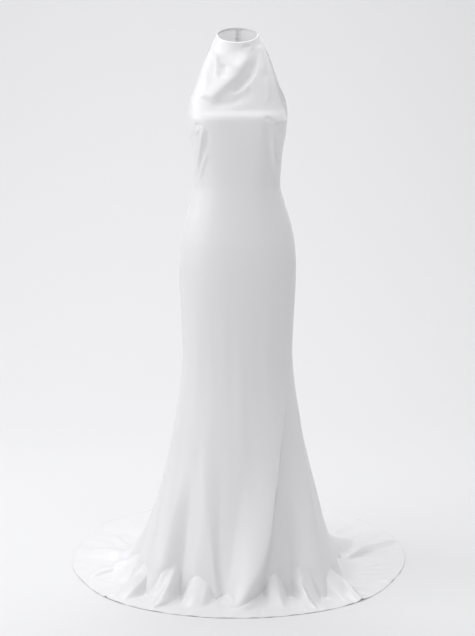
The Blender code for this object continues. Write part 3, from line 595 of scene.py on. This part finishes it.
# Creases in the train, seen from above, as (sideways, towards the back).
TRAIN_CREASES = (
    Drape(((-0.300, 0.016), (-0.363, -0.032), (-0.431, -0.092)), 0.0075, 0.01, 0.006),
    Drape(((-0.329, -0.023), (-0.394, -0.069), (-0.437, -0.125)), 0.0045, 0.006, 0.006),
    Drape(((-0.323, 0.105), (-0.380, 0.124), (-0.444, 0.153)), 0.008, 0.014, 0.008),
    Drape(((-0.318, 0.169), (-0.352, 0.229), (-0.383, 0.289)), 0.004, 0.01, 0.008),
    Drape(((-0.303, -0.175), (-0.337, -0.215), (-0.373, -0.252)), 0.005, 0.007, 0.006),
    Drape(((-0.178, -0.254), (-0.201, -0.298), (-0.241, -0.332)), 0.004, 0.006, 0.008),
    Drape(
        ((0.269, 0.019), (0.319, 0.062), (0.354, 0.088), (0.404, 0.147), (0.452, 0.201), (0.490, 0.250)),
        0.0125, 0.012, 0.006,
    ),
    Drape(((0.330, -0.000), (0.379, 0.020), (0.428, 0.045)), -0.003, 0.006, 0.006),
    Drape(((0.328, -0.040), (0.379, -0.027), (0.440, -0.015)), 0.004, 0.006, 0.004),
    Drape(((0.323, -0.069), (0.374, -0.066), (0.426, -0.060)), 0.0036, 0.005, 0.004),
    Drape(((0.323, -0.105), (0.385, -0.110), (0.448, -0.103)), 0.0038, 0.006, 0.004),
    Drape(((0.280, -0.175), (0.305, -0.210), (0.323, -0.244), (0.345, -0.270)), 0.0075, 0.009, 0.005),
    Drape(((0.306, -0.170), (0.334, -0.201), (0.361, -0.234)), -0.004, 0.008, 0.008),
    Drape(((0.286, 0.276), (0.320, 0.331), (0.353, 0.392)), 0.006, 0.012, 0.007),
    Drape(((0.311, 0.218), (0.373, 0.252), (0.436, 0.283)), 0.003, 0.01, 0.01),
    Drape(((0.183, -0.293), (0.182, -0.316), (0.181, -0.340)), 0.0035, 0.004, 0.005),
    Drape(((0.200, 0.346), (0.221, 0.415), (0.245, 0.481)), 0.0045, 0.012, 0.01),
    Drape(((-0.210, 0.364), (-0.225, 0.424), (-0.237, 0.485)), 0.0045, 0.012, 0.01),
    Drape(((0.058, 0.416), (0.078, 0.494), (0.101, 0.571)), 0.004, 0.014, 0.012),
    Drape(((-0.087, 0.411), (-0.085, 0.483), (-0.088, 0.553)), 0.0036, 0.012, 0.014),
)

# Light satin, a white with the least touch of lilac.
SATIN_COLOUR = (0.862, 0.858, 0.868)
SATIN_ROUGHNESS = 0.34
GLOSS_BELOW = 0.05  # the slubs change the roughness by up to this much
GLOSS_ABOVE = 0.06
THROUGH_LIGHT = 0.17  # share of the light that shines through one layer of cloth


def wall_rows():
    """Row positions of the shown cloth: heights down to the knee, then minus the skirt's share."""
    spans = (
        (1.507, 1.482, 14), (1.482, 1.300, 84), (1.300, 1.240, 40), (1.240, 1.100, 40),
        (1.100, 0.900, 30), (0.900, 0.620, 30),
    )
    rows = [np.linspace(top, bottom, count, endpoint=False) for top, bottom, count in spans]
    rows.append(-np.linspace(0, WALL_SHARE, 110, endpoint=False))
    rows.append(-np.linspace(WALL_SHARE, TURN_SHARE, 44, endpoint=False))
    rows.append(-(TURN_SHARE + (1 - TURN_SHARE) * (1 - (1 - np.linspace(0, 1, 40)) ** 1.5)))
    return np.concatenate(rows)


def panel_grid(name, columns):
    """Turns and row positions of a panel's grid, with columns closer together at its two seams."""
    down = wall_rows()
    turns = np.array(panel_turns(name, down, np.ones(len(down), int)))
    first, last = turns[:, :1], turns[:, -1:]
    even = np.linspace(0, 1, columns + 1)
    eased = 0.5 - 0.5 * np.cos(math.pi * even)
    share = (0.7 * even + 0.3 * eased)[None, :]
    return first + (last - first) * share, np.repeat(down[:, None], columns + 1, axis=1)


def grid_normals(points):
    """Directions away from the outer side of a grid whose rows run down and columns run round."""
    across = np.cross(np.gradient(points, axis=1), -np.gradient(points, axis=0))
    return across / np.linalg.norm(across, axis=-1, keepdims=True)


def arc_lengths(points, axis):
    """How far each grid point is along its row or column."""
    steps = np.linalg.norm(np.diff(points, axis=axis), axis=-1)
    start = np.zeros_like(np.take(steps, [0], axis=axis))
    return np.concatenate((start, np.cumsum(steps, axis=axis)), axis=axis)


def waves(turn, z, terms):
    """Soft uneven waves: each term has an amplitude, waves round the body, waves up it and a shift."""
    total = np.zeros_like(turn)
    for amplitude, around, upward, shift in terms:
        total = total + amplitude * np.sin(np.radians(turn) * around + z * upward + shift)
    return total


def train_relief(points):
    """Height of the fine creases in the cloth that lies on the floor, seen from above."""
    return drapes_rise(TRAIN_CREASES, points[..., 0], points[..., 1])


def front_relief(points):
    """Height of the small creases, darts and puckers on the front above the knee."""
    x, z = points[..., 0], points[..., 2]
    relief = np.zeros_like(x)
    near = (z > CREASE_LOW) & (z < CREASE_HIGH)
    nx, nz = x[near], z[near]
    here = drapes_rise(CREASES, nx, nz)
    distance, share = line_distance(DART_SEAM, abs(nx), nz)
    seam = np.exp(-((distance / 0.0016) ** 2)) * smooth((1 - share) / 0.15)
    puff = np.exp(-((distance / 0.007) ** 2)) * smooth((1 - share) / 0.25)
    pucker = np.sin(share * 34) * np.exp(-((distance / 0.006) ** 2)) * smooth((share - 0.45) / 0.3)
    here = here - DART_DEPTH * seam + 0.0012 * puff + 0.0005 * pucker * smooth((1 - share) / 0.1)
    relief[near] = here
    return relief


def seam_relief(distance, along):
    """Height beside a seam: the stitched valley, with small puckers along it."""
    valley = -SEAM_DEPTH * np.exp(-((distance / SEAM_REACH) ** 2))
    ripple = np.sin(along / 0.0062 + 1.3 * np.sin(along / 0.045)) * np.exp(-((distance / 0.007) ** 2))
    return valley + SEAM_PUCKER * ripple


def shaped_grid(name, columns):
    """Outer points of one panel with all its fine shape, and the row positions."""
    turn, down = panel_grid(name, columns)
    points = cloth_points(turn, down)
    normals = grid_normals(points)
    z = points[..., 2]
    hang = smooth((1.0 - z) / 0.4) * smooth(z / 0.10)
    lie = smooth((0.05 - z) / 0.03) * (down < 0)
    relief = hang * waves(turn, z, HANG_WAVES)
    radius = np.hypot(points[..., 0], points[..., 1])
    relief = relief + lie * (abs(waves(turn, radius * 3, LIE_WAVES)) + train_relief(points))
    if name == "front":
        relief = relief + front_relief(points)
    around = arc_lengths(points, 1)
    upward = arc_lengths(points, 0)
    side = (down <= UNDERARM_HEIGHT) * smooth((UNDERARM_HEIGHT - np.maximum(down, 0)) / 0.01)
    back = down < SLIT_END
    from_left = seam_relief(around, upward)
    from_right = seam_relief(around[:, -1:] - around, upward)
    relief = relief + from_left * (back if name == "left" else side)
    relief = relief + from_right * (back if name == "right" else side)
    if name != "front":
        from_slit = around if name == "left" else around[:, -1:] - around
        lap = LAP_RISE if name == "left" else -LAP_RISE
        lapping = slit_share(down) * smooth((0.014 - from_slit) / 0.010)
        relief = relief + lap * lapping
    from_hem = upward[-1:] - upward
    ripple = 0.5 + 0.5 * np.sin(around / 0.0058 + 2.1 * np.sin(around / 0.061))
    uneven = 0.2 * np.sin(around / 0.0127 + 2.0 * np.sin(around / 0.09))
    lifted = 0.5 + 0.3 * np.sin(around / 0.031 + 1.1) + uneven
    near_hem = np.exp(-((from_hem / 0.008) ** 2))
    relief = relief + near_hem * (HEM_LIFT * lifted**2 * (0.5 + 0.5 * ripple) - HEM_DROP)
    return points + normals * relief[..., None], down


def lower(points):
    """The same points with the origin at the middle of the neck."""
    return points - np.array((0, 0, NECK_HEIGHT))


def add_object(name, data):
    added = bpy.data.objects.new(name, data)
    bpy.context.scene.collection.objects.link(added)
    return added


def mesh_from_grid(name, points, closed=False):
    """A smooth mesh from a grid of points, with lengths in metres as its UV map."""
    rows, columns = points.shape[:2]
    index = np.arange(rows * columns).reshape(rows, columns)
    if closed:
        index = np.concatenate((index, index[:, :1]), axis=1)
    a, b = index[:-1, :-1].ravel(), index[1:, :-1].ravel()
    c, d = index[1:, 1:].ravel(), index[:-1, 1:].ravel()
    faces = np.stack((a, b, c, d), axis=1)
    data = bpy.data.meshes.new(name)
    data.from_pydata(points.reshape(-1, 3).tolist(), [], faces.tolist())
    u = arc_lengths(points, 1).ravel()
    v = arc_lengths(points, 0).ravel()
    uv = data.uv_layers.new(name="cut")
    corners = faces.ravel()
    uv.data.foreach_set("uv", np.stack((u[corners], v[corners]), axis=1).ravel())
    data.polygons.foreach_set("use_smooth", np.ones(len(faces), bool))
    data.update()
    return add_object(name, data)


# A turned edge in section: how far in from the edge, and how far out of the cloth.
EDGE_SECTION = (
    (1.00, 0.00002), (0.97, 0.00022), (0.90, 0.00030), (0.50, 0.00034),
    (0.12, 0.00034), (0.00, 0.00020), (-0.05, -0.00020), (0.00, -0.00062),
    (0.12, -0.00082), (0.50, -0.00084), (0.92, -0.00082), (1.00, -0.00066),
)

# A stitch: its corners along, across and above the line, and its faces.
STITCH_SHAPE = (
    (-0.5, 0, -0.4), (-0.3, 0.5, 0.7), (0.3, 0.5, 0.7), (0.5, 0, -0.4), (0.3, -0.5, 0.7), (-0.3, -0.5, 0.7),
)
STITCH_FACES = ((0, 5, 1), (1, 5, 4, 2), (2, 4, 3), (0, 1, 2, 3), (0, 3, 4, 5))
STITCH_PITCH = 0.0030
STITCH_LENGTH = 0.0019
STITCH_WIDTH = 0.00034
STITCH_RISE = 0.00012


def edge_band(name, edge, normals, inward, width=EDGE_WIDTH):
    """A narrow turned edge that wraps the border of a panel."""
    rings = []
    for share, out in EDGE_SECTION:
        rings.append(edge + inward * (share * width) + normals * out)
    return mesh_from_grid(name, lower(np.stack(rings, axis=1)), closed=True)


def stitches(name, line, normals, along):
    """A row of small stitches that lie on the cloth along a line of points."""
    run = arc_lengths(line[None, :, :], 1)[0]
    places = np.arange(STITCH_PITCH, run[-1] - STITCH_PITCH, STITCH_PITCH)
    centre = np.stack([np.interp(places, run, line[:, k]) for k in range(3)], axis=1)
    out = np.stack([np.interp(places, run, normals[:, k]) for k in range(3)], axis=1)
    way = np.stack([np.interp(places, run, along[:, k]) for k in range(3)], axis=1)
    out /= np.linalg.norm(out, axis=1, keepdims=True)
    way /= np.linalg.norm(way, axis=1, keepdims=True)
    side = np.cross(way, out)
    corners = []
    for a, b, c in STITCH_SHAPE:
        corners.append(centre + way * a * STITCH_LENGTH + side * b * STITCH_WIDTH + out * c * STITCH_RISE)
    vertices = np.stack(corners, axis=1).reshape(-1, 3)
    start = np.arange(len(places))[:, None] * len(STITCH_SHAPE)
    faces = []
    for face in STITCH_FACES:
        faces.extend((start + np.array(face)).tolist())
    data = bpy.data.meshes.new(name)
    data.from_pydata(lower(vertices).tolist(), [], faces)
    return add_object(name, data)


def unit(vectors):
    return vectors / np.linalg.norm(vectors, axis=-1, keepdims=True)


def add_node(tree, kind, inputs=(), **settings):
    """A new node with its settings, and with its inputs' values by name."""
    node = tree.nodes.new(kind)
    for key, value in settings.items():
        setattr(node, key, value)
    for key, value in dict(inputs).items():
        node.inputs[key].default_value = value
    return node


def set_inputs(shader, values):
    for key, value in values.items():
        shader.inputs[key].default_value = value


def mixed_surface(tree, first, second):
    """A node that mixes two shaders and gives the material's surface."""
    mix = add_node(tree, "ShaderNodeMixShader")
    tree.links.new(first.outputs["BSDF"], mix.inputs[1])
    tree.links.new(second.outputs["BSDF"], mix.inputs[2])
    tree.links.new(mix.outputs["Shader"], tree.nodes["Material Output"].inputs["Surface"])
    return mix


def cloth_material(name, colour, roughness):
    """Satin: a smooth float of threads with a soft sheen, faint slubs and a very fine diagonal weave."""
    material = bpy.data.materials.new(name)
    material.use_nodes = True
    tree = material.node_tree
    link = tree.links.new
    shader = tree.nodes["Principled BSDF"]
    set_inputs(shader, {
        "Base Color": (*colour, 1),
        "Sheen Weight": 0.25,
        "Sheen Roughness": 0.35,
        "Specular IOR Level": 0.65,
        "Anisotropic": 0.35,
    })
    place_on = add_node(tree, "ShaderNodeTexCoord")
    weft = add_node(
        tree, "ShaderNodeTexWave", {"Scale": 420, "Distortion": 1.2},
        wave_type="BANDS", bands_direction="DIAGONAL",
    )
    slub = add_node(tree, "ShaderNodeTexNoise", {"Scale": 38, "Detail": 4})
    gloss = add_node(
        tree, "ShaderNodeMapRange",
        {"To Min": roughness - GLOSS_BELOW, "To Max": roughness + GLOSS_ABOVE},
    )
    fine = add_node(tree, "ShaderNodeBump", {"Strength": 0.035, "Distance": 0.0004})
    soft = add_node(tree, "ShaderNodeBump", {"Strength": 0.10, "Distance": 0.0008})
    link(place_on.outputs["UV"], weft.inputs["Vector"])
    link(place_on.outputs["Object"], slub.inputs["Vector"])
    link(slub.outputs["Fac"], gloss.inputs["Value"])
    link(gloss.outputs["Result"], shader.inputs["Roughness"])
    link(weft.outputs["Fac"], fine.inputs["Height"])
    link(slub.outputs["Fac"], soft.inputs["Height"])
    link(fine.outputs["Normal"], soft.inputs["Normal"])
    link(soft.outputs["Normal"], shader.inputs["Normal"])
    through_cloth = add_node(tree, "ShaderNodeBsdfTranslucent", {"Color": (*colour, 1)})
    mixed_surface(tree, shader, through_cloth).inputs["Fac"].default_value = THROUGH_LIGHT
    return material


def finish_piece(piece, material, slot_name, *nodes):
    piece.data.materials.append(material)
    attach(piece, "root")
    if nodes:
        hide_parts(*nodes)
    return piece


Panel = namedtuple("Panel", "name node columns")
PANELS = (
    Panel("front", "front_panel", 220),
    Panel("left", "back_panel_left", 110),
    Panel("right", "back_panel_right", 110),
)


def build_cloth(satin, thread):
    """The three panels with their turned edges and stitches."""
    sheets = []
    for name, node, columns in PANELS:
        points, down = shaped_grid(name, columns)
        normals = grid_normals(points)
        shown = points
        if name == "front":
            shown = np.concatenate((fine_roll(points[0]), points))
        sheet = finish_piece(mesh_from_grid(name + "_cloth", lower(shown)), satin, "satin", node)
        trims = []
        armhole = (down[:, 0] >= UNDERARM_HEIGHT - 0.001) & (down[:, 0] <= NECK_HEIGHT - NECK_SEAM + 0.001)
        for column, step, where in ((0, 1, name != "right"), (-1, -2, name != "left")):
            if not where:
                continue
            edge = points[armhole, column]
            inward = unit(points[armhole, step] - edge)
            band_name = name + ("_armhole_a" if column == 0 else "_armhole_b")
            band = edge_band(band_name, edge, normals[armhole, column], inward)
            trims.append(finish_piece(band, satin, "satin"))
        hem_inward = unit(points[-2] - points[-1])
        hem = edge_band(name + "_hem", points[-1], normals[-1], hem_inward)
        trims.append(finish_piece(hem, satin, "satin"))
        line = points[-1] + hem_inward * EDGE_WIDTH * STITCH_PLACE + normals[-1] * 0.0004
        row = stitches(name + "_hem_stitches", line, normals[-1], np.gradient(points[-1], axis=0))
        trims.append(finish_piece(row, thread, "satin"))
        if name != "front":
            top = edge_band(name + "_neck_edge", points[0], normals[0], unit(points[1] - points[0]))
            trims.append(finish_piece(top, satin, "satin"))
            slit = down[:, 0] >= SLIT_END
            side, step = (-1, -2) if name == "right" else (0, 1)
            edge = points[slit, side]
            inward = unit(points[slit, step] - edge)
            band = edge_band(name + "_slit_edge", edge, normals[slit, side], inward, SLIT_EDGE_WIDTH)
            trims.append(finish_piece(band, satin, "satin"))
        sheets.append((sheet, trims, points))
    return sheets


def fine_roll(edge):
    """Rows of the front's rolled neck edge, from the end of its facing to just above the first row."""
    out = unit(edge * np.array((1, 1, 0)))
    face = -out[:, 1]
    radius = (ROLL_RADIUS_SIDE + (ROLL_RADIUS - ROLL_RADIUS_SIDE) * face**2)[:, None]
    up = np.array((0, 0, 1.0))
    centre = edge - out * radius
    rows = [centre - out * radius - up * depth for depth in np.linspace(FACING_DEPTH, 0.001, 8)]
    for angle in np.radians(range(180, 5, -12)):
        rows.append(centre + (out * math.cos(angle) + up * math.sin(angle)) * radius)
    return np.array(rows)


def closure_place(index):
    """Where a button sits: a matrix with X across the back, Y out of the cloth and Z up the back."""
    height = NECK_HEIGHT - BUTTON_FIRST - index * BUTTON_STEP
    turn = 180 - gap_turn(BUTTON_SHIFT, 180, height)
    outward = Vector(cloth_normals(turn, height))
    across = Vector((1, 0, 0))
    across = (across - outward * across.dot(outward)).normalized()
    turned = Matrix((across, outward, across.cross(outward))).transposed()
    return Matrix.Translation(Vector(lower(cloth_points(turn, height)))) @ turned.to_4x4()


def build_button(name, seat):
    """A small covered dome on a narrower foot, with gathers where the satin is drawn in underneath."""
    sides = 40
    brim = SEAM_GAP + BUTTON_FOOT_HEIGHT
    edge_rise = 0.0005
    profile = [(0.0, SEAM_GAP), (BUTTON_FOOT_RADIUS, SEAM_GAP), (BUTTON_FOOT_RADIUS, brim)]
    profile.append((BUTTON_RADIUS * 0.8, brim))
    for angle in np.radians(range(-30, 91, 12)):
        run = BUTTON_RADIUS * (0.88 + 0.12 * math.cos(angle)) * max(math.cos(max(angle, 0)), 0.0)
        profile.append((run, brim + edge_rise + (BUTTON_RISE - edge_rise) * math.sin(angle)))
    rings = []
    angles = np.linspace(0, 2 * math.pi, sides, endpoint=False)
    for radius, out in profile:
        gather = 1 + 0.03 * np.sin(angles * 10) * (out < brim + 0.0004)
        across, up = radius * gather * np.cos(angles), radius * gather * np.sin(angles)
        rings.append(np.stack((across, np.full(sides, out), up), axis=1))
    button = mesh_from_grid(name, np.array(rings), closed=True)
    button.matrix_world = seat
    return button


def cord(name, path, out, ply, seat):
    """A turned cord along a path of (across, up) places: ply is how much its turns show in its thickness."""
    centre = np.array([(x, out, z) for x, z in path])
    side = np.cross(unit(np.gradient(centre, axis=0)), np.array((0, 1.0, 0)))
    angles = np.linspace(0, 2 * math.pi, 12, endpoint=False)
    rings = []
    for i in range(len(centre)):
        thick = LOOP_THICKNESS / 2 * (1 + ply * np.cos(2 * (angles + i * 0.35)))[:, None]
        around = side[i] * np.cos(angles)[:, None] + np.array((0, 1.0, 0)) * np.sin(angles)[:, None]
        rings.append(centre[i] + around * thick)
    piece = mesh_from_grid(name, np.array(rings), closed=True)
    piece.matrix_world = seat
    return piece


def build_loop(name, seat):
    """A turned satin cord from the left half's edge round the button's foot and back."""
    round_foot = BUTTON_FOOT_RADIUS + LOOP_CLEARANCE + LOOP_THICKNESS / 2
    start = -2 * BUTTON_SHIFT + NECK_SLIT / 2 + LOOP_REACH
    bend = [(round_foot * math.sin(a), round_foot * math.cos(a)) for a in np.radians(range(0, 181, 10))]
    above = [(start * share, round_foot) for share in np.linspace(1, 0.08, 12)]
    path = above + bend + [(x, -z) for x, z in reversed(above)]
    return cord(name, path, SEAM_GAP + LOOP_THICKNESS / 2, 0.06, seat)


def build_loop_end(name, seat):
    """The two ends of a cord, turned in over the edge and sewn down side by side inside the left half."""
    half = LOOP_END_WIDTH / 2
    bend = [(-half * math.cos(a), half * math.sin(a)) for a in np.radians(range(-80, 81, 10))]
    path = [(LOOP_END_LENGTH, half)] + bend + [(LOOP_END_LENGTH, -half)]
    inside = -BUTTON_SHIFT - LOOP_END_LENGTH
    return cord(name, [(x + inside, z) for x, z in path], -LOOP_END_DEPTH, 0.0, seat)


# Studio floor and backdrop, with heights above the floor.
FLOOR_GAP = 0.0004  # the paper lies this far below the hem
FLOOR_FRONT = -7.0
FLOOR_SIDE = 9.0
BEND_START = 1.5
BEND = 1.8
WALL_TOP = 8.0


def build_stage():
    """A seamless pale floor that curves up into a backdrop, and is clear from behind."""
    profile = [(FLOOR_FRONT, 0.0), (BEND_START, 0.0)]
    for turn in np.radians(range(6, 91, 6)):
        profile.append((BEND_START + BEND * math.sin(turn), BEND - BEND * math.cos(turn)))
    profile.append((BEND_START + BEND, WALL_TOP))
    rows = []
    for y, height in profile:
        z = height - NECK_HEIGHT - FLOOR_GAP
        rows.append([(-FLOOR_SIDE, y, z), (FLOOR_SIDE, y, z)])
    floor = mesh_from_grid("studio_floor", np.array(rows))
    material = bpy.data.materials.new("studio paper")
    material.use_nodes = True
    tree = material.node_tree
    paper = tree.nodes["Principled BSDF"]
    set_inputs(paper, {
        "Base Color": (0.665, 0.665, 0.682, 1),
        "Emission Color": (0.99, 0.99, 1.0, 1),
        "Emission Strength": 0.045,
        "Roughness": 0.9,
        "Specular IOR Level": 0.2,
    })
    side = add_node(tree, "ShaderNodeNewGeometry")
    mix = mixed_surface(tree, add_node(tree, "ShaderNodeBsdfTransparent"), paper)
    tree.links.new(side.outputs["Backfacing"], mix.inputs["Fac"])
    floor.data.materials.append(material)


def soft_light(name, place, target, size, power):
    data = bpy.data.lights.new(name, "AREA")
    data.shape = "RECTANGLE"
    data.size, data.size_y = size
    data.energy = power
    light = add_object(name, data)
    light.location = place
    light.rotation_euler = (Vector(target) - Vector(place)).to_track_quat("-Z", "Y").to_euler()


# Studio lights: place, what each points at, its size and its power in watts.
Lamp = namedtuple("Lamp", "name place target size power")
LAMPS = (
    Lamp("key_left", (-3.0, -1.6, 0.6), (0, 0, -0.75), (1.6, 2.6), 20.0),
    Lamp("low_left", (-3.0, -1.2, -0.9), (0, 0, -0.9), (1.6, 1.4), 2.0),
    Lamp("left_side", (-3.1, 0.2, 0.9), (0, 0, -0.45), (1.6, 1.8), 28.0),
    Lamp("neck_light", (-1.2, -1.0, 1.6), (0, 0, -0.05), (0.5, 0.5), 0.3),
    Lamp("overhead", (0, -0.6, 2.6), (0, 0, -1.5), (3.0, 3.0), 47.0),
    Lamp("overhead_back", (0, 1.7, 2.4), (0, 0, -1.5), (3.0, 1.4), 58.0),
)
ROOM_LIGHT = 0.600
CAMERA_AWAY = 4.5
CAMERA_HEIGHT = 1.62
CAMERA_DOWN = 11.17
CAMERA_LENS = 93.3


def build_light():
    for lamp in LAMPS:
        soft_light(lamp.name, lamp.place, lamp.target, lamp.size, lamp.power)
    world = bpy.data.worlds.new("studio")
    bpy.context.scene.world = world
    world.use_nodes = True
    world.node_tree.nodes["Background"].inputs[0].default_value = (1, 1, 1, 1)
    world.node_tree.nodes["Background"].inputs[1].default_value = ROOM_LIGHT


def build_camera():
    data = bpy.data.cameras.new("camera")
    data.sensor_width = 36
    data.lens = CAMERA_LENS
    camera = add_object("camera", data)
    camera.location = (0, -CAMERA_AWAY, CAMERA_HEIGHT - NECK_HEIGHT)
    camera.rotation_euler = (math.radians(90 - CAMERA_DOWN), 0, 0)
    bpy.context.scene.camera = camera
    bpy.context.scene.view_settings.view_transform = "Standard"


def main():
    satin = cloth_material("ivory satin", SATIN_COLOUR, SATIN_ROUGHNESS)
    covered = cloth_material("button satin", (0.84, 0.84, 0.83), 0.36)
    cord = cloth_material("loop satin", (0.80, 0.80, 0.79), 0.45)
    thread = cloth_material("sewing thread", (0.80, 0.80, 0.79), 0.55)
    sheets = build_cloth(satin, thread)
    for index in range(BUTTON_COUNT):
        seat = closure_place(index)
        button = build_button(f"covered_button_{index + 1}", seat)
        finish_piece(button, covered, "button_satin", f"button_{index + 1}")
        loop = build_loop(f"cord_loop_{index + 1}", seat)
        finish_piece(loop, cord, "loop_satin", f"button_loop_{index + 1}")
        finish_piece(build_loop_end(f"cord_end_{index + 1}", seat), cord, "loop_satin")
    build_stage()
    build_light()
    build_camera()


main()
